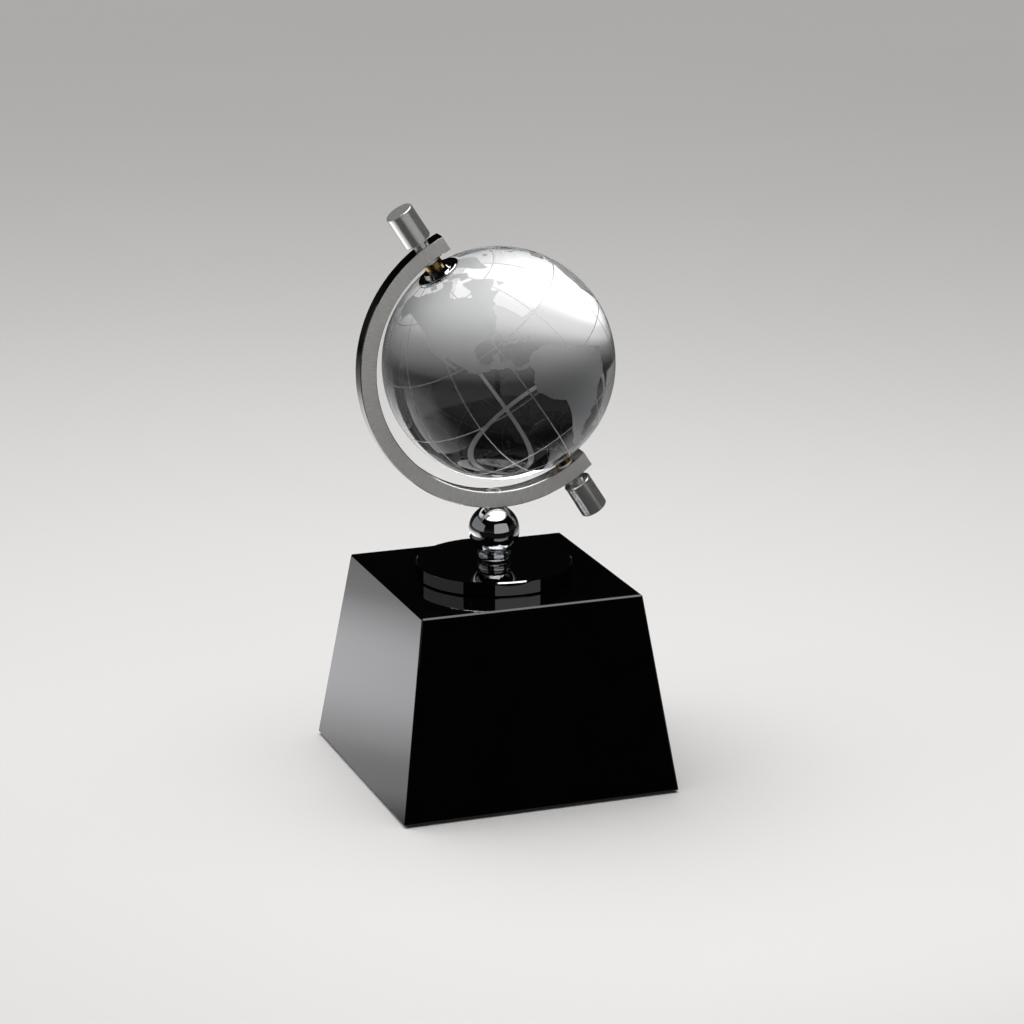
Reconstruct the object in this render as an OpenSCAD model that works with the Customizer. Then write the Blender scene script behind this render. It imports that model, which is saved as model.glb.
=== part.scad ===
// Crystal globe award: a clear ball that spins in a tilted metal arc, on a ball stem and a black
// crystal base. The origin is the centre of the underside, +Z is up, and the front faces -Y.

/* [Base] */
// Width of the crystal base across its bottom edges
base_bottom_w = 99.8; // [96:0.2:106]
// Width of the crystal base across its top edges
base_top_w = 79.4; // [72:0.2:88]
// Height of the crystal base
base_h = 69; // [60:0.2:80]
// Width of the polished bevels on the base's edges
base_bevel = 0.5; // [0.4:0.1:1.5]
// Thickness of the felt pad under the base
pad_t = 0.8; // [0.5:0.1:2]
// Distance from the base's bottom edges in to the felt pad
pad_inset = 2.4; // [1.5:0.1:5]

/* [Stem] */
// Diameter of the foot disc
disc_d = 54.4; // [44:0.2:60]
// Height of the foot disc
disc_h = 5; // [4:0.1:8]
// Diameter of the collar between the disc and the ball
collar_d = 11.8; // [11:0.1:14]
// Height of the collar
collar_h = 4.2; // [3:0.1:6]
// Diameter of the ball that carries the arc
ball_d = 17.8; // [17:0.1:20]
// Depth of the saddle that the arc sits in, at the top of the ball
saddle_depth = 0.4; // [0.3:0.1:1]

/* [Arc] */
// Outer diameter of the arc
arc_d = 101.6; // [101:0.2:106]
// Thickness of the arc, measured along its radius
arc_t = 5.7; // [5.2:0.1:6]
// Width of the arc, from its front face to its back face
arc_w = 6; // [6:0.1:7]
// Distance that the arc's two ends run past the pivot axis
arc_end = 7.3; // [6:0.1:10]
// Distance of the arc's centre from the ball's centre, towards the open side
arc_shift = 0.5; // [0:0.1:2]

/* [Globe] */
// Diameter of the crystal ball
globe_d = 80; // [79:0.5:80.5]
// Tilt of the pivot axis from the vertical, in degrees
axis_tilt = 32.8; // [23:0.1:34]
// Distance of the ball's centre to the right of the stem
globe_x = 1.8; // [0:0.1:2]

/* [Pivots] */
// Diameter of the knobs
knob_d = 9.8; // [8:0.1:11]
// Length of a knob, without its neck
knob_l = 12.4; // [9:0.1:14]
// Diameter of a pivot pin
pin_d = 3; // [2.5:0.1:3.2]
// Radial running clearance between a pin and its bush
pin_clearance = 0.05; // [0.02:0.01:0.1]
// Diameter of the cups on the ball's poles
cup_d = 15.4; // [13:0.1:15.6]

/* [Hidden] */
$fn = 96;

NORTH = 1;
SOUTH = -1;
cut = 1; // how far a cutting shape runs past the face that it cuts
thread_clearance = 0.05; // radial gap left for a thread that is drawn plain

// Tie rod and its hardware, M6
rod_r = 3;
rod_hole_r = rod_r + thread_clearance;
rod_free_hole_r = 3.4;
rod_bottom_z = 4.6;
rod_in_ball = 5.8;
nut_flats = 10;
nut_h = 5;
washer_r = 9;
washer_t = 1.6;
cushion_t = 1.5;
recess_r = 11;
recess_depth = 14;

// Heights of the stack, from the table up
block_z = pad_t;
block_top_z = block_z + base_h;
gasket_t = 0.3;
gasket_inset = 1.2;
disc_z = block_top_z + gasket_t;
disc_top_z = disc_z + disc_h;
disc_bevel = 0.4;
collar_top_z = disc_top_z + collar_h;
ball_r = ball_d / 2;
ball_foot_r = 5.8; // radius of the flat under the ball
ball_z = collar_top_z + sqrt(ball_r * ball_r - ball_foot_r * ball_foot_r);

// Arc and globe centres
arc_r = arc_d / 2;
arc_in_r = arc_r - arc_t;
arc_edge = 0.3; // chamfer on the arc's long edges
arc_x = globe_x + arc_shift * cos(axis_tilt);
arc_foot_z = ball_z + ball_r - saddle_depth; // underside of the arc above the stem
arc_z = arc_foot_z + sqrt(arc_r * arc_r - arc_x * arc_x);
globe_z = arc_z - arc_shift * sin(axis_tilt);
globe_r = globe_d / 2;

// Countersunk screw that holds the arc, M3
screw_r = 1.5;
screw_head_r = 2.75;
screw_head_h = 1.6;
screw_in_ball = 6;
screw_recess = 0.15; // depth of the screw's head below the arc's inner face
screw_hole_gap = 0.1;
screw_sink_gap = 0.15;
screw_socket_r = 1.15;
screw_socket_depth = 1.1;
arc_floor_z = arc_z - sqrt(arc_in_r * arc_in_r - arc_x * arc_x); // inner face above the stem

// Stations along the pivot axis, measured from the ball's centre
pin_r = pin_d / 2;
pin_hole_r = pin_r + pin_clearance;
cup_r = cup_d / 2;
pole_flat_r = cup_r + 0.25; // radius of the flat ground on each pole
flat_k = sqrt(globe_r * globe_r - pole_flat_r * pole_flat_r);
cup_rim_h = 1.1;
cup_h = 2.4;
cup_boss_r = 4.6;
cup_floor = 0.8;
bush_r = 3.2;
bush_floor = 0.6;
end_play = 0.2; // gap between a bush and its thrust washer
washer_seat_k = arc_in_r + 0.1;
washer_seat_r = 2.9;
thrust_t = 0.8;
thrust_r = 2.8;
thrust_k = washer_seat_k - thrust_t;
bush_k = flat_k + cup_floor;
bush_top_k = thrust_k - end_play;
pin_tip_gap = 0.4;
pin_k = bush_k + bush_floor + pin_tip_gap;
knob_seat_k = arc_r - 0.4;
knob_seat_r = 2.9;
neck_r = 2.8;
neck_l = 2.7;
knob_k = knob_seat_k + neck_l;
knob_edge = 0.5;
knob_bore_depth = 8;
pin_end_gap = 0.3; // gap left beyond a threaded end in its blind hole
pin_l = knob_seat_k + knob_bore_depth - pin_end_gap - pin_k;

// Half the base's width at a height above the block's underside
function half_w(z) = base_bottom_w / 2 - (base_bottom_w - base_top_w) / 2 * z / base_h;

// Puts a shape on the pivot axis, with its +Z pointing out of that pole
module at_pole(side) {
    translate([globe_x, 0, globe_z])
        rotate([0, side == NORTH ? -axis_tilt : 180 - axis_tilt, 0])
            children();
}

// A ring or a disc with a hole, from its lower face up
module ring(outer_r, inner_r, h) {
    difference() {
        cylinder(r = outer_r, h = h);
        translate([0, 0, -cut])
            cylinder(r = inner_r, h = h + 2 * cut);
    }
}

// A plate with round corners
module round_plate(w, corner_r, h) {
    inner = w - 2 * corner_r;
    translate([-w / 2, -inner / 2, 0])
        cube([w, inner, h]);
    translate([-inner / 2, -w / 2, 0])
        cube([inner, w, h]);
    for (sx = [-1, 1], sy = [-1, 1])
        translate([sx * inner / 2, sy * inner / 2, 0])
            cylinder(r = corner_r, h = h);
}

// A wedge that bounds the base on two opposite sides, with its top and bottom edges bevelled
module side_wedge() {
    b = base_bevel;
    right = [[half_w(0) - b, 0], [half_w(b), b], [half_w(base_h - b), base_h - b], [half_w(base_h) - b, base_h]];
    left = [for (i = [3:-1:0]) [-right[i][0], right[i][1]]];
    rotate([90, 0, 0])
        linear_extrude(height = base_bottom_w + 2 * cut, center = true)
            polygon(concat(right, left));
}

// A wedge across the diagonal, which bevels the sloping corner edges
module corner_wedge() {
    inset = base_bevel / sqrt(2);
    low = half_w(0) * sqrt(2) - inset;
    high = half_w(base_h) * sqrt(2) - inset;
    rotate([0, 0, 45])
        rotate([90, 0, 0])
            linear_extrude(height = 2 * base_bottom_w, center = true)
                polygon([[-low, 0], [low, 0], [high, base_h], [-high, base_h]]);
}

module base_pad() {
    color("dimgray")
        round_plate(base_bottom_w - 2 * pad_inset, 2, pad_t);
}

module base_block() {
    color([0.05, 0.05, 0.06])
        translate([0, 0, block_z])
            difference() {
                intersection() {
                    side_wedge();
                    rotate([0, 0, 90])
                        side_wedge();
                    corner_wedge();
                    rotate([0, 0, 90])
                        corner_wedge();
                }
                translate([0, 0, -cut])
                    cylinder(r = rod_free_hole_r, h = base_h + 2 * cut);
                translate([0, 0, -cut])
                    cylinder(r = recess_r, h = recess_depth + cut);
            }
}

module tie_rod() {
    length = collar_top_z + rod_in_ball - rod_bottom_z;
    tip = 0.6;
    color("silver")
        translate([0, 0, rod_bottom_z])
            rotate_extrude()
                polygon([[0, 0], [rod_r - tip, 0], [rod_r, tip], [rod_r, length - tip],
                    [rod_r - tip, length], [0, length]]);
}

module tie_nut() {
    color("silver")
        translate([0, 0, block_z + recess_depth - cushion_t - washer_t - nut_h])
            difference() {
                cylinder(r = nut_flats / sqrt(3), h = nut_h, $fn = 6);
                translate([0, 0, -cut])
                    cylinder(r = rod_hole_r, h = nut_h + 2 * cut);
            }
}

module tie_washer() {
    color("silver")
        translate([0, 0, block_z + recess_depth - cushion_t - washer_t])
            ring(washer_r, rod_free_hole_r, washer_t);
}

module cushion_washer() {
    color("black")
        translate([0, 0, block_z + recess_depth - cushion_t])
            ring(washer_r, rod_free_hole_r, cushion_t);
}

module foot_gasket() {
    color("black")
        translate([0, 0, block_top_z])
            ring(disc_d / 2 - gasket_inset, rod_free_hole_r, gasket_t);
}

module foot_disc() {
    r = disc_d / 2;
    color("gainsboro")
        translate([0, 0, disc_z])
            rotate_extrude($fn = 180)
                polygon([[rod_hole_r, 0], [r - 0.3, 0], [r, 0.3], [r, disc_h - disc_bevel],
                    [r - disc_bevel, disc_h], [rod_hole_r, disc_h]]);
}

// Turned bead: a half-round rim between a narrow foot and the flat that the ball stands on
module stem_collar() {
    r = collar_d / 2;
    bead_r = collar_h / 2;
    core_r = r - bead_r;
    bead = [for (a = [-90:7.5:90]) [core_r + bead_r * cos(a), bead_r + bead_r * sin(a)]];
    color("gainsboro")
        translate([0, 0, disc_top_z])
            rotate_extrude()
                polygon(concat([[rod_hole_r, 0]], bead, [[rod_hole_r, collar_h]]));
}

module stem_ball() {
    color("gainsboro")
        difference() {
            translate([0, 0, ball_z])
                sphere(r = ball_r);
            translate([-ball_r, -ball_r, collar_top_z - ball_d])
                cube([ball_d, ball_d, ball_d]);
            translate([arc_x, 0, arc_z])
                rotate([90, 0, 0])
                    cylinder(r = arc_r, h = 2 * ball_d, center = true, $fn = 360);
            translate([0, 0, collar_top_z - cut])
                cylinder(r = rod_hole_r, h = rod_in_ball + pin_end_gap + cut);
            translate([0, 0, arc_foot_z - screw_in_ball - pin_end_gap])
                cylinder(r = screw_r + thread_clearance, h = screw_in_ball + cut);
        }
}

module arc_screw() {
    top = arc_floor_z - screw_recess;
    bottom = arc_foot_z - screw_in_ball;
    color("silver")
        difference() {
            rotate_extrude()
                polygon([[0, bottom], [screw_r - 0.4, bottom], [screw_r, bottom + 0.4],
                    [screw_r, top - screw_head_h], [screw_head_r, top - 0.25], [screw_head_r, top], [0, top]]);
            translate([0, 0, top - screw_socket_depth])
                cylinder(r = screw_socket_r, h = screw_socket_depth + cut, $fn = 6);
        }
}

// Section of the arc, with its four long edges chamfered
module arc_section() {
    e = arc_edge;
    h = arc_w / 2;
    polygon([[arc_in_r + e, -h], [arc_r - e, -h], [arc_r, -h + e], [arc_r, h - e],
        [arc_r - e, h], [arc_in_r + e, h], [arc_in_r, h - e], [arc_in_r, -h + e]]);
}

module meridian_arc() {
    color("lightgray")
        difference() {
            at_pole(NORTH)
                intersection() {
                    translate([arc_shift, 0, 0])
                        rotate([90, 0, 0])
                            rotate_extrude($fn = 360)
                                arc_section();
                    translate([arc_end - 2 * arc_d, -arc_d / 2, -arc_d])
                        cube([2 * arc_d, arc_d, 2 * arc_d]);
                }
            for (side = [NORTH, SOUTH])
                at_pole(side)
                    arc_end_cuts();
            arc_screw_hole();
        }
}

// Countersunk hole for the screw, in the arc's foot
module arc_screw_hole() {
    hole_r = screw_r + screw_hole_gap;
    sink_r = screw_head_r + screw_sink_gap;
    sink_z = arc_floor_z - screw_recess - screw_hole_gap;
    translate([0, 0, arc_foot_z - cut])
        cylinder(r = hole_r, h = arc_t + 2 * cut);
    translate([0, 0, sink_z - screw_head_h])
        cylinder(r1 = hole_r, r2 = sink_r, h = screw_head_h);
    translate([0, 0, sink_z])
        cylinder(r = sink_r, h = 2 * cut);
}

// Pin hole through one end of the arc, with flat seats for the knob and the thrust washer
module arc_end_cuts() {
    translate([0, 0, arc_in_r - cut])
        cylinder(r = pin_r + thread_clearance, h = arc_t + 2 * cut);
    translate([0, 0, knob_seat_k])
        cylinder(r = knob_seat_r, h = 2 * cut);
    translate([0, 0, washer_seat_k - 2 * cut])
        cylinder(r = washer_seat_r, h = 2 * cut);
}

// Turned knob on a narrow neck, with a blind thread for the pivot pin
module knob(side) {
    r = knob_d / 2;
    e = knob_edge;
    rim = [for (a = [0:15:90]) [r - e + e * cos(a), neck_l + knob_l - e + e * sin(a)]];
    color("gainsboro")
        at_pole(side)
            translate([0, 0, knob_seat_k])
                difference() {
                    rotate_extrude()
                        polygon(concat([[0, 0], [neck_r, 0], [neck_r, neck_l], [r - 0.3, neck_l],
                            [r, neck_l + 0.3]], rim, [[0, neck_l + knob_l]]));
                    translate([0, 0, -cut])
                        cylinder(r = pin_r + thread_clearance, h = knob_bore_depth + cut);
                }
}

module pivot_pin(side) {
    tip = 0.4;
    color("silver")
        at_pole(side)
            translate([0, 0, pin_k])
                rotate_extrude()
                    polygon([[0, 0], [pin_r - tip, 0], [pin_r, tip], [pin_r, pin_l - tip],
                        [pin_r - tip, pin_l], [0, pin_l]]);
}

module thrust_washer(side) {
    color("ivory")
        at_pole(side)
            translate([0, 0, thrust_k])
                ring(thrust_r, pin_r + 0.1, thrust_t);
}

// Shallow cup glued to the ground flat of a pole: a round rim, a sloping shoulder and a low boss
module pole_cup(side) {
    rim_r = cup_rim_h / 2;
    rim = [for (a = [-90:15:90]) [cup_r - rim_r + rim_r * cos(a), rim_r + rim_r * sin(a)]];
    color("gainsboro")
        at_pole(side)
            translate([0, 0, flat_k])
                rotate_extrude()
                    polygon(concat([[0, 0]], rim, [[cup_boss_r + 0.6, cup_rim_h], [cup_boss_r, cup_h],
                        [bush_r, cup_h], [bush_r, cup_floor], [0, cup_floor]]));
}

module pole_bush(side) {
    h = bush_top_k - bush_k;
    color("goldenrod")
        at_pole(side)
            translate([0, 0, bush_k])
                difference() {
                    cylinder(r = bush_r, h = h);
                    translate([0, 0, bush_floor])
                        cylinder(r = pin_hole_r, h = h);
                }
}

module globe() {
    color([0.85, 0.9, 0.92, 0.6])
        at_pole(NORTH)
            intersection() {
                sphere(r = globe_r, $fn = 180);
                cube([globe_d + cut, globe_d + cut, 2 * flat_k], center = true);
            }
}

base_pad();
base_block();
tie_rod();
tie_nut();
tie_washer();
cushion_washer();
foot_gasket();
foot_disc();
stem_collar();
stem_ball();
arc_screw();
meridian_arc();
knob(NORTH);  // knob_north
knob(SOUTH);  // knob_south
pivot_pin(NORTH);  // pivot_pin_north
pivot_pin(SOUTH);  // pivot_pin_south
thrust_washer(NORTH);  // thrust_washer_north
thrust_washer(SOUTH);  // thrust_washer_south
pole_cup(NORTH);  // pole_cup_north
pole_cup(SOUTH);  // pole_cup_south
pole_bush(NORTH);  // pole_bush_north
pole_bush(SOUTH);  // pole_bush_south
globe();
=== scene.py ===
import math

import bpy
import numpy as np
from mathutils import Matrix, Vector, noise


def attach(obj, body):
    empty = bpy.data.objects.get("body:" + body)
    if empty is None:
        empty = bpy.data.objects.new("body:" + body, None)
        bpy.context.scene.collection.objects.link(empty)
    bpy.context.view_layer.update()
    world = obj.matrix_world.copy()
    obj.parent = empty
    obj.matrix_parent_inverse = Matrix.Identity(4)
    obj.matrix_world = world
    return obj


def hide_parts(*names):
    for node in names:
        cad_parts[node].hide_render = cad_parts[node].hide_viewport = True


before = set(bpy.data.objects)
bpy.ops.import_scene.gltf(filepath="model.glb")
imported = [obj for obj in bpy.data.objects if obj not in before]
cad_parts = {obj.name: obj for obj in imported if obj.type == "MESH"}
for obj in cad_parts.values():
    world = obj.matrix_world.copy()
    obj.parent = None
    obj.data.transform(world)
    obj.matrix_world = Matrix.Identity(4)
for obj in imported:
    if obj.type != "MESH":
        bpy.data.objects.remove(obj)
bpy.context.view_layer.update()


# ---- felt pad ---------------------------------------------------------------------------------
# The award stands on a thin square of black felt, glued over the recess in the base. Its fibres
# are short and matted, so it takes light softly and shows no gloss.

mm = 0.001


def feed(links, value, socket):
    """Gives a node's socket a value, or links the socket that the value comes from."""
    if isinstance(value, bpy.types.NodeSocket):
        links.new(value, socket)
    else:
        socket.default_value = value


def arithmetic(nodes, links, operation, *values):
    """One Math node on numbers or sockets."""
    math_node = nodes.new("ShaderNodeMath")
    math_node.operation = operation
    for i, value in enumerate(values):
        feed(links, value, math_node.inputs[i])
    return math_node.outputs[0]


def spread(nodes, links, value, low, high, start=0.0, end=1.0):
    """Maps a value that runs from start to end onto low to high."""
    ranged = nodes.new("ShaderNodeMapRange")
    for name, given in (("Value", value), ("From Min", start), ("From Max", end),
                        ("To Min", low), ("To Max", high)):
        feed(links, given, ranged.inputs[name])
    return ranged.outputs["Result"]


def tint(nodes, links, share, dark, light):
    """A colour from dark to light, as the share goes from 0 to 1."""
    mix = nodes.new("ShaderNodeMix")
    mix.data_type = "RGBA"
    for name, given in (("Factor", share), ("A", dark), ("B", light)):
        feed(links, given, mix.inputs[name])
    return mix.outputs["Result"]


# The grain that every finish here shares: a fine unevenness in colour, roughness and height.
surface_grain = bpy.data.node_groups.new("surface_grain", "ShaderNodeTree")
for in_out, name, kind in (
        ("INPUT", "Place", "Vector"), ("INPUT", "Size", "Float"), ("INPUT", "Detail", "Float"),
        ("INPUT", "Dark", "Color"), ("INPUT", "Light", "Color"),
        ("INPUT", "Smooth", "Float"), ("INPUT", "Rough", "Float"),
        ("OUTPUT", "Color", "Color"), ("OUTPUT", "Roughness", "Float"), ("OUTPUT", "Height", "Float")):
    surface_grain.interface.new_socket(name, in_out=in_out, socket_type="NodeSocket" + kind)
nodes, links = surface_grain.nodes, surface_grain.links
taken = nodes.new("NodeGroupInput").outputs
put_out = nodes.new("NodeGroupOutput").inputs
speckle = nodes.new("ShaderNodeTexNoise")
links.new(taken["Place"], speckle.inputs["Vector"])
links.new(arithmetic(nodes, links, "DIVIDE", 1.0, taken["Size"]), speckle.inputs["Scale"])
links.new(taken["Detail"], speckle.inputs["Detail"])
fineness = speckle.outputs["Fac"]
links.new(tint(nodes, links, fineness, taken["Dark"], taken["Light"]), put_out["Color"])
links.new(spread(nodes, links, fineness, taken["Smooth"], taken["Rough"]), put_out["Roughness"])
links.new(fineness, put_out["Height"])


def place_grain(nodes, links, place, size, detail, smooth, rough, dark=(1, 1, 1), light=(1, 1, 1)):
    """Places the grain group in a material, with grains of about that size in metres."""
    group = nodes.new("ShaderNodeGroup")
    group.node_tree = surface_grain
    for name, value in (("Place", place), ("Size", size), ("Detail", detail), ("Dark", (*dark, 1)),
                        ("Light", (*light, 1)), ("Smooth", smooth), ("Rough", rough)):
        feed(links, value, group.inputs[name])
    return group.outputs


def new_finish(name):
    """A material with its Principled BSDF ready, and its nodes and links."""
    finish = bpy.data.materials.new(name)
    finish.use_nodes = True
    tree = finish.node_tree
    return finish, tree.nodes["Principled BSDF"], tree.nodes, tree.links


def object_place(nodes, links, turn=(0, 0, 0), centre=(0, 0, 0), scale=(1, 1, 1)):
    """Object coordinates, measured from a centre, turned and stretched."""
    coords = nodes.new("ShaderNodeTexCoord")
    mapping = nodes.new("ShaderNodeMapping")
    mapping.vector_type = "TEXTURE"
    mapping.inputs["Location"].default_value = centre
    mapping.inputs["Rotation"].default_value = turn
    mapping.inputs["Scale"].default_value = scale
    links.new(coords.outputs["Object"], mapping.inputs["Vector"])
    return mapping.outputs["Vector"]


def relief(nodes, links, shader, height, depth):
    """Bump of that depth in metres on the shader's normal."""
    bump = nodes.new("ShaderNodeBump")
    bump.inputs["Distance"].default_value = depth
    links.new(height, bump.inputs["Height"])
    links.new(bump.outputs["Normal"], shader.inputs["Normal"])


def grained_finish(name, size, detail, dark, light, smooth, rough, metallic=0.0, depth=0.0):
    """A material that is the same grain all over, with relief where it has a depth in metres."""
    finish, shader, nodes, links = new_finish(name)
    place = object_place(nodes, links)
    grain = place_grain(nodes, links, place, size, detail, smooth, rough, dark, light)
    links.new(grain["Color"], shader.inputs["Base Color"])
    links.new(grain["Roughness"], shader.inputs["Roughness"])
    shader.inputs["Metallic"].default_value = metallic
    if depth:
        relief(nodes, links, shader, grain["Height"], depth)
    return finish, shader


def dress(finish, *node_names):
    """Gives these CAD nodes the finish."""
    for node_name in node_names:
        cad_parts[node_name].material_slots[0].material = finish


felt, shader = grained_finish(
    "black_felt", 0.4 * mm, 6.0, dark=(0.008, 0.008, 0.009), light=(0.03, 0.03, 0.032),
    smooth=0.85, rough=1.0, depth=0.1 * mm)
shader.inputs["Sheen Weight"].default_value = 0.3
dress(felt, "base_pad")


# ---- black crystal base -----------------------------------------------------------------------
# A block of black optical glass, cut to a tapered square and polished on every face, with narrow
# bevels ground along its edges. The polish is deep, with the faintest haze where it was buffed.

black_crystal, shader = grained_finish(
    "black_crystal", 14 * mm, 3.0, dark=(0.0006, 0.0005, 0.0007), light=(0.0016, 0.0014, 0.0018),
    smooth=0.012, rough=0.03)
shader.inputs["IOR"].default_value = 1.60
shader.inputs["Specular Tint"].default_value = (0.91, 0.90, 1.0, 1)
dress(black_crystal, "base_block")


# ---- tie rod, nut and washers -----------------------------------------------------------------
# A zinc-plated M6 rod comes up through the crystal into the stem ball. Under the base its nut
# pulls on a steel washer, with a rubber one between the steel and the crystal.

zinc, _ = grained_finish(
    "zinc_steel", 1.2 * mm, 4.0, dark=(0.42, 0.44, 0.47), light=(0.62, 0.64, 0.67),
    smooth=0.26, rough=0.44, metallic=1.0, depth=0.01 * mm)
dress(zinc, "tie_rod", "tie_nut", "tie_washer", "arc_screw")

rubber, _ = grained_finish(
    "black_rubber", 0.5 * mm, 5.0, dark=(0.012, 0.012, 0.012), light=(0.028, 0.028, 0.028),
    smooth=0.55, rough=0.75, depth=0.02 * mm)
dress(rubber, "cushion_washer", "foot_gasket")


# ---- foot disc, collar and stem ball ----------------------------------------------------------
# Turned brass, buffed on the lathe. The disc is plated with black chrome, the collar and the
# ball with bright chrome, and the ball carries the arc in a shallow saddle.

chrome, _ = grained_finish(
    "polished_chrome", 6 * mm, 3.0, dark=(0.70, 0.71, 0.73), light=(0.78, 0.79, 0.81),
    smooth=0.025, rough=0.06, metallic=1.0)
dress(chrome, "stem_collar", "stem_ball")

black_chrome, _ = grained_finish(
    "black_chrome", 9 * mm, 3.0, dark=(0.40, 0.40, 0.405), light=(0.47, 0.47, 0.475),
    smooth=0.02, rough=0.05, metallic=1.0)
dress(black_chrome, "foot_disc")


# ---- meridian arc -----------------------------------------------------------------------------
# A square steel bar bent to a C, plated in nickel. Its front and back are brushed across the
# bar with a fine belt, and its outer and inner faces are polished bright.

arc_centre = (2.2203 * mm, 0, 145.302 * mm)
arc_half_width = 3.0 * mm
arc_middle = 48.0 * mm
inner_radius, outer_radius = 45.1 * mm, 50.8 * mm
polish_margin = 0.4 * mm
stroke_width, stroke_length = 0.34 * mm, 6 * mm
arc_dark, arc_light = (0.46, 0.457, 0.44), (0.93, 0.922, 0.89)
brushed_smooth, brushed_rough = 0.42, 0.56
mirror_roughness = 0.05
inner_roughness = 0.22

arc_metal, shader, nodes, links = new_finish("satin_nickel")
place = object_place(nodes, links, centre=arc_centre)
axes = nodes.new("ShaderNodeSeparateXYZ")
links.new(place, axes.inputs["Vector"])
round_the_bar = arithmetic(nodes, links, "ARCTAN2", axes.outputs["Z"], axes.outputs["X"])
along_bar = arithmetic(nodes, links, "MULTIPLY", round_the_bar, arc_middle)
from_front = arithmetic(nodes, links, "ABSOLUTE", axes.outputs["Y"])
brushed = spread(nodes, links, from_front, 0.0, 1.0,
                 arc_half_width - 0.06 * mm, arc_half_width - 0.02 * mm)
radius = nodes.new("ShaderNodeVectorMath")
radius.operation = "LENGTH"
links.new(place, radius.inputs[0])
strokes_place = nodes.new("ShaderNodeCombineXYZ")
from_centre = radius.outputs["Value"]
links.new(arithmetic(nodes, links, "DIVIDE", along_bar, stroke_width), strokes_place.inputs["X"])
links.new(arithmetic(nodes, links, "DIVIDE", from_centre, stroke_length), strokes_place.inputs["Y"])
strokes = place_grain(nodes, links, strokes_place.outputs["Vector"], 1.0, 3.0,
                      brushed_smooth, brushed_rough, arc_dark, arc_light)
inner_satin = spread(nodes, links, from_centre, inner_roughness, 0.0,
                     inner_radius + polish_margin, outer_radius - polish_margin)
polished_roughness = arithmetic(nodes, links, "ADD", mirror_roughness, inner_satin)
brushed_roughness = arithmetic(nodes, links, "MULTIPLY", brushed, strokes["Roughness"])
links.new(arithmetic(nodes, links, "MAXIMUM", polished_roughness, brushed_roughness),
          shader.inputs["Roughness"])
links.new(tint(nodes, links, brushed, (*arc_dark, 1), strokes["Color"]), shader.inputs["Base Color"])
links.new(spread(nodes, links, brushed, 1.0, 0.5), shader.inputs["Metallic"])
stroke_height = arithmetic(nodes, links, "MULTIPLY", strokes["Height"], brushed)
relief(nodes, links, shader, stroke_height, 0.02 * mm)
dress(arc_metal, "meridian_arc")


# ---- knobs and pivot pins ---------------------------------------------------------------------
# A turned chrome knob screws onto each end of the arc's pole axis on a narrow neck. The steel
# pin in it runs through the arc and carries the ball, with a nylon washer against the arc.

knob_chrome, _ = grained_finish(
    "satin_chrome", 0.5 * mm, 4.0, dark=(0.58, 0.58, 0.57), light=(0.84, 0.84, 0.82),
    smooth=0.16, rough=0.30, metallic=0.80, depth=0.01 * mm)
dress(knob_chrome, "knob_north", "knob_south")

pin_steel, _ = grained_finish(
    "pin_steel", 0.3 * mm, 2.0, dark=(0.45, 0.45, 0.46), light=(0.60, 0.60, 0.61),
    smooth=0.18, rough=0.30, metallic=1.0)
dress(pin_steel, "pivot_pin_north", "pivot_pin_south")

nylon, _ = grained_finish(
    "natural_nylon", 1.5 * mm, 2.0, dark=(0.72, 0.70, 0.64), light=(0.82, 0.80, 0.75),
    smooth=0.35, rough=0.5)
dress(nylon, "thrust_washer_north", "thrust_washer_south")


# ---- pole cups and bushes ---------------------------------------------------------------------
# A shallow chrome cup is glued to the ground flat at each pole of the ball, with a brass bush
# pressed in its boss that turns on the pin.

dress(chrome, "pole_cup_north", "pole_cup_south")

brass, _ = grained_finish(
    "bush_brass", 0.4 * mm, 3.0, dark=(0.26, 0.16, 0.07), light=(0.40, 0.26, 0.12),
    smooth=0.15, rough=0.28, metallic=1.0)
dress(brass, "pole_bush_north", "pole_bush_south")


# ---- crystal globe ----------------------------------------------------------------------------
# A solid ball of clear optical glass with a small flat ground matt at each pole for the cups. The
# land is sandblasted, and a fine grid is cut every 30 degrees.

globe_centre = Vector((1.8, 0, 145.0311)) * mm
globe_radius = 40.0 * mm
pole_flat = 39.2 * mm
axis_tilt = math.radians(32.8)
spin_axis = Vector((-math.sin(axis_tilt), 0, math.cos(axis_tilt)))

# The blasting mask and the grid each sat a few degrees off the spin axis. America faces the front.
map_pole = Vector((-0.515, 0.092, 0.852)).normalized()
front = Vector((-0.3283, -0.9019, 0.2807))
front_longitude = -88.5
grid_step = math.radians(30)
grid_pole = Vector((-0.572, -0.012, 0.820)).normalized()
grid_turn = math.radians(2.5)
grid_line = 0.42 * mm
ball_segments, ball_rings = 384, 248
coast_reach = 2 * mm
coast_ripple = 0.22 * mm
ripple_size = 2.2 * mm
coast_blur = 0.12
blast_size = 0.25 * mm


def polar_frame(pole, turn):
    """The frame whose Z is a pole and whose X is turned that far east of the front."""
    x_axis = Matrix.Rotation(turn, 3, pole) @ (front - front.dot(pole) * pole).normalized()
    return Matrix((x_axis, pole.cross(x_axis), pole)).transposed()


map_frame = polar_frame(map_pole, -math.radians(front_longitude))
grid_frame = polar_frame(grid_pole, grid_turn)

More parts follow.
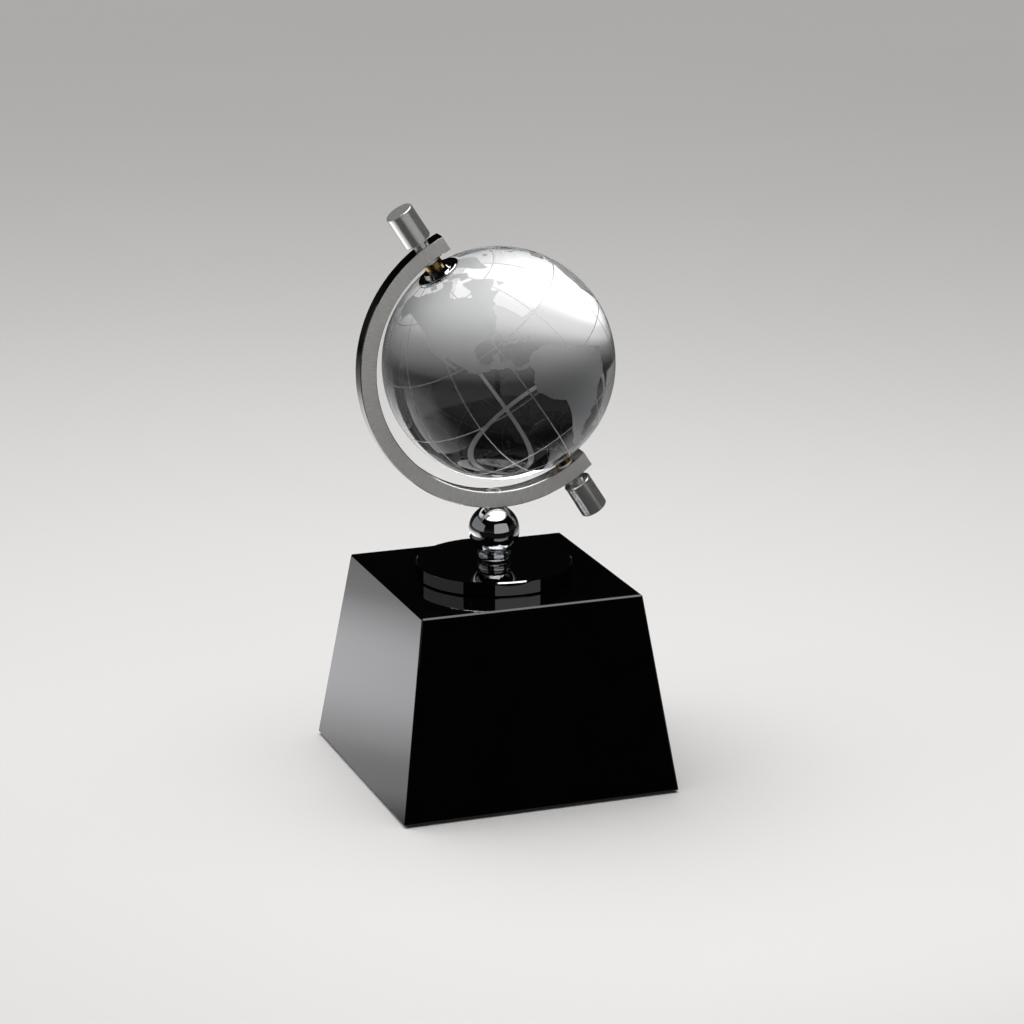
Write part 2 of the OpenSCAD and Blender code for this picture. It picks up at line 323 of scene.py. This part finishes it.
# Coastlines as longitude and latitude, in degrees.
coasts = {
    "north_america": [
        (-168, 65.5), (-164, 61), (-157, 58.5), (-162, 55), (-152, 59), (-146, 60.5), (-138, 58.5),
        (-132, 54.5), (-127, 50.5), (-124, 47.5), (-124.3, 42), (-121.5, 36.5), (-117.5, 33),
        (-115.5, 29.8), (-113, 26.5), (-110, 23), (-109.8, 24.8), (-112.3, 28.3), (-114.6, 31.6),
        (-112.8, 31), (-109.2, 26.2), (-105.6, 21.8), (-105.3, 19.8), (-101.5, 17.6), (-96.5, 15.7),
        (-94, 16.2), (-91.5, 14), (-87.6, 12.9), (-85.8, 10.2), (-83, 8.4), (-80.4, 7.3), (-77.6, 7.2),
        (-76.9, 8.4), (-79.8, 9.6), (-81.8, 9.1), (-83.6, 11), (-83.3, 15), (-86, 15.9), (-88.5, 16),
        (-87.6, 18.6), (-86.8, 21.3), (-90.3, 21), (-90.8, 19.2), (-94.6, 18.2), (-97, 20.8),
        (-97.6, 24.5), (-97, 28), (-94.2, 29.5), (-90, 29.1), (-85.2, 29.8), (-83.4, 29.4),
        (-82.7, 27.6), (-81.2, 25.2), (-80.2, 26.5), (-81.3, 30.5), (-78.5, 33.8), (-75.7, 35.3),
        (-75.8, 37.2), (-74, 40.5), (-70, 41.8), (-70.5, 43.3), (-66.5, 44.6), (-61, 45.6),
        (-64.5, 47.5), (-65.2, 49), (-60, 50.1), (-56, 52), (-58, 54.8), (-61.8, 57.5), (-64.8, 60.3),
        (-69.5, 61), (-72.5, 62), (-78, 62.4), (-77.5, 58), (-76.5, 55.5), (-79, 54), (-79.2, 51.5),
        (-82.2, 53), (-85, 55.3), (-92.3, 57), (-94.5, 59.5), (-93.5, 62), (-88, 64), (-86, 66.5),
        (-82, 68), (-86, 69.8), (-94, 71.5), (-97, 68), (-108, 68), (-115, 68.5), (-124, 69.7),
        (-136, 69), (-150, 70.6), (-157, 71.2), (-166, 68.5)],
    "south_america": [
        (-77.4, 8.5), (-75.5, 10.6), (-72, 12.2), (-71.2, 11), (-68, 11.5), (-64, 10), (-61.8, 9.4),
        (-60, 7), (-57, 4), (-52, 1.8), (-50, -1.6), (-48, -3.4), (-44, -5.6), (-40, -7.4),
        (-36.8, -9.5), (-36.4, -11), (-37.6, -13), (-39, -14), (-39.2, -18), (-41, -22), (-44.8, -23.2),
        (-48.5, -26), (-50.5, -30.5), (-53.5, -34), (-57.5, -35), (-57, -37.8), (-62, -39),
        (-65, -41.5), (-64.5, -43), (-67.4, -46.2), (-66, -48.2), (-69, -51), (-68.4, -52.6),
        (-65.5, -54.8), (-70, -55.5), (-74.5, -52), (-75.4, -47), (-73.3, -42), (-73.5, -37.5),
        (-71.5, -31), (-70.4, -23.5), (-70.4, -18.4), (-76.2, -14), (-79.5, -8), (-81.3, -5),
        (-80, -2.8), (-80.6, -0.5), (-78.7, 1.5), (-77.3, 4), (-77.9, 7)],
    "africa": [
        (-17.3, 14.7), (-16.5, 19), (-16, 24), (-13, 27.8), (-9.8, 30), (-8.5, 33.3), (-6, 35.8),
        (-2, 35.2), (3, 36.9), (10, 37.3), (11, 34), (15.5, 31.9), (20, 30.8), (22, 32.8), (29, 30.9),
        (32.3, 31.2), (34, 27.5), (37.2, 21), (39, 16), (43.2, 12), (44.5, 10.5), (51.2, 12),
        (49, 6.5), (45, 1.8), (41, -2), (39, -6), (40.6, -11), (40.5, -15), (36, -19), (35.3, -23.8),
        (32.8, -26), (31, -30), (26.5, -33.9), (20, -34.8), (18.2, -32.5), (15.2, -27), (14.3, -22),
        (12, -17), (13.6, -11), (12.2, -5.5), (9.3, -1), (9.6, 4), (5.8, 4.3), (1, 6), (-4, 5.2),
        (-8, 4.5), (-12.8, 7.7), (-15, 11)],
    "eurasia": [
        (-9.3, 38.7), (-9, 43), (-2, 43.5), (-1.3, 46), (-4.6, 48.4), (1.5, 50), (4.5, 52.5), (8.2, 54),
        (8.2, 57), (10.5, 57.5), (10.8, 54.2), (14, 54), (19, 54.5), (21.3, 57.2), (24, 59), (30, 60),
        (22, 60.2), (21.3, 63), (25.2, 65), (22, 65.8), (17.5, 62), (17, 60.5), (16.5, 57), (13, 55.5),
        (11, 59), (7, 58), (5.1, 61), (12, 66), (17, 69.2), (26, 71), (33, 69.4), (41, 67), (37.5, 64),
        (44, 66), (45, 68.3), (54, 68.4), (60, 69), (68.5, 69), (68, 72.8), (73, 72), (73.5, 68),
        (78, 72.2), (87, 75), (104, 77.5), (113, 74), (128, 72.8), (140, 72.7), (152, 71), (161, 69.7),
        (171, 69.8), (180, 69), (190, 66), (187, 64.5), (178, 62.5), (171, 60), (163.5, 58.5),
        (162, 55.5), (157, 51.3), (155.5, 55.5), (163, 61.5), (156.5, 61.5), (151, 59.2), (142, 59),
        (135.5, 54.7), (140.5, 51.5), (140, 47), (135, 43.5), (130.5, 42.3), (127.6, 39.7),
        (129.3, 36), (126.5, 34.5), (126.5, 37.5), (124.7, 39.6), (121.5, 39), (118, 39),
        (122.3, 37.3), (119.3, 35), (121.8, 31.5), (120, 26.5), (114, 22.3), (108.5, 21.6), (106, 19),
        (109, 12.5), (106.8, 10.3), (104.9, 8.7), (102.5, 12), (100.9, 13.4), (99.3, 10), (103.4, 4),
        (103.6, 1.4), (100.5, 4), (98.3, 8.3), (97.6, 16.3), (94.3, 16), (92, 21.5), (87, 21.3),
        (82.3, 16.6), (80.2, 13.5), (79.8, 10.3), (77.5, 8.1), (74.5, 13.5), (72.8, 19.5), (72, 21.2),
        (69, 22.3), (66.6, 25.2), (61.5, 25.1), (57, 26.8), (51.5, 27.9), (48.6, 30), (50.2, 26.6),
        (51.6, 25), (54, 24.2), (56.4, 26), (59.8, 22.4), (57.8, 19), (52.2, 15.6), (45, 12.8),
        (42.8, 15), (39, 21), (35, 28), (34.6, 29.5), (34.3, 31.3), (36, 36.3), (32.3, 36.1),
        (27.5, 36.8), (26.5, 39.5), (30, 41), (35, 42), (41.5, 41.3), (37, 45.2), (39, 47.2),
        (35, 46.3), (33.3, 44.7), (30.7, 46.5), (28, 43.3), (28, 41.7), (26, 40.7), (23.5, 40.3),
        (24, 38), (22.8, 36.5), (21, 38), (19.4, 41.5), (15.5, 43.8), (13.6, 45.6), (12.3, 44.5),
        (16, 41.8), (18.4, 40), (16, 38), (15.5, 40), (12.3, 41.8), (9, 44.3), (5, 43.3), (3, 42),
        (-0.3, 39.3), (-2, 36.8), (-5.5, 36.1), (-9, 37)],
    "australia": [
        (114, -22), (113.7, -26.5), (115.7, -32), (118, -35), (124, -33), (131, -31.5), (136, -35),
        (138, -33.5), (140, -38), (146.5, -39), (150, -37.5), (153.2, -31.5), (153.3, -25), (149, -21),
        (146, -18.8), (145.3, -15), (142.5, -10.8), (141.5, -14), (140.5, -17.6), (137, -16),
        (135.7, -15), (136.8, -12.2), (132.5, -11.3), (129.5, -15), (126, -14), (122.2, -17.8)],
    "greenland": [
        (-45, 60), (-42, 62.5), (-38, 65.7), (-25, 69), (-20, 74), (-18, 80), (-32, 83.5), (-60, 82),
        (-72, 78.5), (-58, 75.5), (-54, 70.5), (-53, 66), (-49, 61.5)],
    "antarctica": [
        (-180, -78), (-150, -77), (-130, -74), (-100, -73), (-75, -72), (-60, -63.5), (-62, -74),
        (-40, -78), (-15, -72), (0, -70), (40, -69), (60, -67), (90, -66.5), (120, -66.5),
        (150, -68.5), (170, -72), (180, -78), (180, -90), (-180, -90)],
    "cuba": [(-84.8, 21.9), (-82, 23.2), (-77, 21.9), (-74.3, 20.2), (-77.6, 19.9), (-80, 21.6)],
    "hispaniola": [(-74.3, 18.4), (-73, 19.9), (-70, 19.8), (-68.4, 18.6), (-71.5, 17.8)],
    "newfoundland": [(-59, 47.6), (-53, 46.8), (-55.5, 51.3)],
    "baffin": [
        (-62, 66.5), (-68, 63), (-76, 65), (-73, 67.5), (-86, 70), (-88, 73.5), (-80, 73.6),
        (-68, 70.3)],
    "victoria": [(-105, 69), (-117, 70.5), (-118, 73), (-106, 73)],
    "ellesmere": [(-88, 76.7), (-78, 76.5), (-62, 82.3), (-75, 83), (-92, 81.5)],
    "iceland": [(-22.5, 64), (-14, 64.8), (-16, 66.4), (-22.5, 66)],
    "britain": [
        (-5.5, 50), (1, 51.2), (0, 53), (-2, 56), (-3.5, 58.6), (-6, 57), (-3.5, 54.5), (-4.8, 52)],
    "ireland": [(-9.8, 52), (-6.3, 52.2), (-6, 55), (-8.3, 55), (-10, 54)],
    "madagascar": [
        (49.3, -12), (50.3, -15.5), (47.2, -25), (44.2, -25), (43.4, -22), (44.3, -16.5)],
    "ceylon": [(79.9, 9.6), (81.8, 7.2), (80.5, 6)],
    "sumatra": [
        (95.3, 5.6), (98.5, 3.5), (104, -1.5), (105.8, -5.8), (101, -2.5), (97.5, 2)],
    "java": [(105.2, -6.3), (111, -6.3), (114.4, -7.8), (108, -7.9)],
    "borneo": [(109, 1.5), (113, 3.2), (117, 7), (119, 5), (117.5, 1), (116, -4), (110.3, -2.8)],
    "celebes": [(120, 0.8), (125, 1.4), (121, -0.9), (122.5, -4.8), (120, -5.5)],
    "new_guinea": [
        (131, -0.8), (135, -3.3), (141, -2.6), (147.5, -6.5), (150.5, -10.5), (146, -8.8), (143, -9.2),
        (138, -8.2), (134, -4)],
    "luzon": [
        (120.3, 16), (120.8, 18.5), (122.2, 18.3), (121.8, 14.8), (124, 12.8), (120.7, 13.8)],
    "mindanao": [(122, 7), (125.5, 9.7), (126.4, 7), (124, 6)],
    "formosa": [(120, 23), (121.7, 25.1), (121, 22)],
    "honshu": [
        (130, 31.5), (134, 33.6), (139.8, 35), (141.8, 39), (141, 41.4), (139.5, 38.8), (136, 36),
        (131, 34.4)],
    "hokkaido": [(140.2, 41.6), (145.5, 43.3), (141.8, 45.3), (140.4, 43.2)],
    "new_zealand_north": [
        (172.8, -34.5), (175.8, -36.8), (178.4, -37.8), (175.3, -41.5), (173.8, -39.2)],
    "new_zealand_south": [
        (172.7, -40.6), (174.2, -41.8), (170.8, -45.8), (168.3, -46.5), (166.5, -45.8)],
}

bpy.ops.object.select_all(action="DESELECT")
bpy.ops.mesh.primitive_uv_sphere_add(segments=ball_segments, ring_count=ball_rings, radius=globe_radius,
                                     location=globe_centre, rotation=(0, -axis_tilt, 0))
globe = bpy.context.object
globe.name = "crystal_ball"
bpy.ops.object.mode_set(mode="EDIT")
for side in (1, -1):
    bpy.ops.mesh.select_all(action="SELECT")
    bpy.ops.mesh.bisect(plane_co=globe_centre + side * pole_flat * spin_axis,
                        plane_no=side * spin_axis, use_fill=True, clear_outer=True)
bpy.ops.object.mode_set(mode="OBJECT")
bpy.ops.object.transform_apply(location=True, rotation=True, scale=True)

points = np.array([v.co for v in globe.data.vertices])
on_map = (points - np.array(globe_centre)) @ np.array(map_frame)
longitude = np.degrees(np.arctan2(on_map[:, 1], on_map[:, 0]))
latitude = np.degrees(np.arcsin(np.clip(on_map[:, 2] / np.linalg.norm(on_map, axis=1), -1, 1)))


def on_ball(lon, lat):
    """The place on the ball of a longitude and latitude, in the map's own frame."""
    lon, lat = np.radians(lon), np.radians(lat)
    return globe_radius * np.stack(
        [np.cos(lat) * np.cos(lon), np.cos(lat) * np.sin(lon), np.sin(lat)], axis=-1)


into_land = np.full(len(points), -1.0)
for coast in coasts.values():
    outline = np.array(coast, float)
    following = np.roll(outline, -1, axis=0)
    nearest = np.full(len(points), coast_reach)
    inside = np.zeros(len(points), bool)
    for (lon_a, lat_a), (lon_b, lat_b) in zip(outline, following):
        if not (lat_a == lat_b == -90 or abs(lon_a) == abs(lon_b) == 180):
            cuts = np.linspace(0, 1, 2 + int(abs(lon_b - lon_a) // 6))
            stations = on_ball(lon_a + (lon_b - lon_a) * cuts, lat_a + (lat_b - lat_a) * cuts)
            for a, b in zip(stations[:-1], stations[1:]):
                reach = np.linalg.norm(b - a) / 2 + coast_reach
                around = np.abs(on_map - (a + b) / 2).max(axis=1) < reach
                near = on_map[around]
                share = np.clip((near - a) @ (b - a) / ((b - a) @ (b - a)), 0, 1)
                gap = np.linalg.norm(near - a - share[:, None] * (b - a), axis=1)
                nearest[around] = np.minimum(nearest[around], gap)
        if lat_a != lat_b:
            crossing = (lat_a > latitude) != (lat_b > latitude)
            meets = lon_a + (latitude - lat_a) * (lon_b - lon_a) / (lat_b - lat_a)
            for lap in (0, 360):
                inside ^= crossing & (longitude + lap < meets)
    into_land = np.maximum(into_land, np.where(inside, nearest, -nearest))

# The coast wanders a little, and the ground flats are as matt as the land.
for i in np.flatnonzero(np.abs(into_land) < 1.5 * mm):
    into_land[i] += coast_ripple * noise.fractal(Vector(on_map[i]) / ripple_size, 0.8, 2.0, 3)
on_flat = np.abs((points - np.array(globe_centre)) @ np.array(spin_axis)) > pole_flat - 0.01 * mm
into_land[on_flat] = 1 * mm
attribute = globe.data.attributes.new("into_land", "FLOAT", "POINT")
attribute.data.foreach_set("value", (into_land / mm).astype(np.float32))

bpy.ops.object.shade_smooth_by_angle(angle=math.radians(30))

ball_glass, shader, nodes, links = new_finish("clear_crystal")
into_land_mm = nodes.new("ShaderNodeAttribute")
into_land_mm.attribute_name = "into_land"
land = spread(nodes, links, into_land_mm.outputs["Fac"], 0.0, 1.0, -coast_blur, coast_blur)

grid_place = object_place(nodes, links, turn=grid_frame.to_euler(), centre=globe_centre)
axes = nodes.new("ShaderNodeSeparateXYZ")
links.new(grid_place, axes.inputs["Vector"])
x_squared = arithmetic(nodes, links, "MULTIPLY", axes.outputs["X"], axes.outputs["X"])
y_squared = arithmetic(nodes, links, "MULTIPLY", axes.outputs["Y"], axes.outputs["Y"])
from_pole_line = arithmetic(
    nodes, links, "SQRT", arithmetic(nodes, links, "ADD", x_squared, y_squared))


def to_grid_line(angle):
    """The angle to the nearest multiple of the grid's step."""
    steps = arithmetic(nodes, links, "DIVIDE", angle, grid_step)
    nearest_line = arithmetic(nodes, links, "ROUND", steps)
    past_line = arithmetic(nodes, links, "SUBTRACT", steps, nearest_line)
    off = arithmetic(nodes, links, "ABSOLUTE", past_line)
    return arithmetic(nodes, links, "MULTIPLY", off, grid_step)


east = arithmetic(nodes, links, "ARCTAN2", axes.outputs["Y"], axes.outputs["X"])
north = arithmetic(nodes, links, "ARCTAN2", axes.outputs["Z"], from_pole_line)
off_meridian = arithmetic(nodes, links, "MULTIPLY", from_pole_line, to_grid_line(east))
off_parallel = arithmetic(nodes, links, "MULTIPLY", globe_radius, to_grid_line(north))
off_line = arithmetic(nodes, links, "MINIMUM", off_meridian, off_parallel)
grid = spread(nodes, links, off_line, 1.0, 0.0, 0.35 * grid_line, 0.65 * grid_line)
etched = arithmetic(nodes, links, "MAXIMUM", land, grid)

blast = place_grain(nodes, links, grid_place, blast_size, 3.0, smooth=0.62, rough=0.78)
clear, frosted = (1, 1, 1, 1), (0.93, 0.94, 0.95, 1)
links.new(arithmetic(nodes, links, "MULTIPLY", etched, blast["Roughness"]), shader.inputs["Roughness"])
links.new(tint(nodes, links, etched, clear, frosted), shader.inputs["Base Color"])
shader.inputs["Transmission Weight"].default_value = 1.0
shader.inputs["IOR"].default_value = 1.52
globe.data.materials.append(ball_glass)
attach(globe, "globe")
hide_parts("globe")


# ---- floor, lights and camera -----------------------------------------------------------------
# A plain pale floor under soft studio light: one wide softbox overhead, a card in front to the
# right, a long panel on the left, and a broad fill from above for the matt surfaces.

bpy.ops.object.select_all(action="DESELECT")
floor_size, table_size = 12, 4
bpy.ops.mesh.primitive_plane_add(size=floor_size)
floor = bpy.context.object
floor.name = "floor"
pale, _ = grained_finish(
    "pale_floor", 0.35, 3.0, dark=(0.62, 0.61, 0.60), light=(0.65, 0.64, 0.63), smooth=0.68, rough=0.72)
floor.data.materials.append(pale)
floor.visible_glossy = False
floor.visible_transmission = False

# What the glass and metal see of the table is painted: a hidden glowing card, seen only in reflections
# and through the glass, with a painted pool of light behind the award falling away into painted dark in
# front and far off.
bpy.ops.object.select_all(action="DESELECT")
bpy.ops.mesh.primitive_plane_add(size=table_size, location=(0, 0, -0.2 * mm))
table_light = bpy.context.object
table_light.name = "table_light"
bpy.ops.object.transform_apply(location=True, rotation=True, scale=True)
glow = bpy.data.materials.new("table_glow")
glow.use_nodes = True
nodes, links = glow.node_tree.nodes, glow.node_tree.links
nodes.clear()
emission = nodes.new("ShaderNodeEmission")
output = nodes.new("ShaderNodeOutputMaterial")
links.new(emission.outputs["Emission"], output.inputs["Surface"])
# The painted pool of light: its centre and stretch, its peak glow, the faint glow everywhere else, and
# where it fades to painted dark in front.
pool_centre, pool_stretch = (-0.105, 0.16, 0), (1.4, 1, 1)
pool_peak, table_dim = 1.9, 0.006
fade_start, fade_end = -0.07, 0.0
place = object_place(nodes, links, centre=pool_centre, scale=pool_stretch)
away = nodes.new("ShaderNodeVectorMath")
away.operation = "LENGTH"
links.new(place, away.inputs[0])
pool = nodes.new("ShaderNodeValToRGB")
pool.color_ramp.interpolation = "B_SPLINE"
levels = ((0.0, 1.0), (0.055, 0.98), (0.11, 0.58), (0.14, 0.42), (0.19, 0.40), (0.24, 0.25),
          (0.30, 0.12), (0.40, 0.08), (0.57, 0.036), (0.78, 0.014), (0.95, 0.002))
for i, (stop, level) in enumerate(levels):
    element = pool.color_ramp.elements[i] if i < 2 else pool.color_ramp.elements.new(stop)
    element.position = stop
    element.color = (level, level, level, 1)
links.new(away.outputs["Value"], pool.inputs["Fac"])
axes = nodes.new("ShaderNodeSeparateXYZ")
links.new(object_place(nodes, links), axes.inputs["Vector"])
front_fade = nodes.new("ShaderNodeMapRange")
front_fade.interpolation_type = "SMOOTHSTEP"
front_fade.inputs["From Min"].default_value = fade_start
front_fade.inputs["From Max"].default_value = fade_end
front_fade.inputs["To Max"].default_value = pool_peak
links.new(axes.outputs["Y"], front_fade.inputs["Value"])
lit = arithmetic(nodes, links, "MULTIPLY", pool.outputs["Color"], front_fade.outputs["Result"])
links.new(arithmetic(nodes, links, "ADD", table_dim, lit), emission.inputs["Strength"])
glow.cycles.emission_sampling = "NONE"
table_light.data.materials.append(glow)
table_light.visible_camera = False
table_light.visible_diffuse = False
table_light.visible_shadow = False


# Rectangular soft lights: where each stands and aims, its width and height, and its watts.
for name, place, target, width, height, watts in (
        ("softbox_overhead", (0.05, 0.05, 0.75), (0, 0, 0.1), 0.80, 0.55, 4.6),
        ("card_front", (0.10, -0.26, 0.18), (0.08, 0, 0.18), 0.38, 0.22, 0.10),
        ("panel_left", (-0.58, 0.155, 0.27), (0, 0, 0.14), 1.00, 0.38, 0.24)):
    lamp = bpy.data.lights.new(name, "AREA")
    lamp.shape = "RECTANGLE"
    lamp.size, lamp.size_y, lamp.energy = width, height, watts
    box = bpy.data.objects.new(name, lamp)
    bpy.context.scene.collection.objects.link(box)
    box.location = place
    box.rotation_euler = (Vector(target) - Vector(place)).to_track_quat("-Z", "Y").to_euler()

room = bpy.data.lights.new("room_fill", "SUN")
room.energy, room.angle = 2.3, math.radians(70)
room_light = bpy.data.objects.new("room_fill", room)
bpy.context.scene.collection.objects.link(room_light)
room_light.rotation_euler = (math.radians(-12), math.radians(-18), 0)
room_light.visible_glossy = False
room_light.visible_transmission = False

# The camera sees a plain pale wall past the floor. Everything else sees a dark room.
wall_colour = (0.36, 0.357, 0.352, 1)
room_low, room_high = 0.015, 0.003
world = bpy.data.worlds.new("studio")
bpy.context.scene.world = world
world.use_nodes = True
nodes, links = world.node_tree.nodes, world.node_tree.links
backdrop = nodes["Background"]
seen = nodes.new("ShaderNodeLightPath")
sky = nodes.new("ShaderNodeTexCoord")
height = nodes.new("ShaderNodeSeparateXYZ")
links.new(sky.outputs["Generated"], height.inputs["Vector"])
dark_room = spread(nodes, links, height.outputs["Z"], room_low, room_high, 0.08, 0.26)
links.new(tint(nodes, links, seen.outputs["Is Camera Ray"], dark_room, wall_colour),
          backdrop.inputs["Color"])

camera_azimuth, camera_elevation = math.radians(-20), math.radians(16.3)
camera_distance = 1176.4 * mm
camera_target = Vector((5.88, -2.14, 92.24)) * mm
look_back = Vector((math.sin(camera_azimuth) * math.cos(camera_elevation),
                    -math.cos(camera_azimuth) * math.cos(camera_elevation), math.sin(camera_elevation)))
lens = bpy.data.cameras.new("camera")
lens.sensor_width, lens.lens = 36, 119.5
camera = bpy.data.objects.new("camera", lens)
bpy.context.scene.collection.objects.link(camera)
camera.location = camera_target + camera_distance * look_back
camera.rotation_euler = look_back.to_track_quat("Z", "Y").to_euler()
bpy.context.scene.camera = camera
bpy.context.scene.view_settings.view_transform = "Standard"
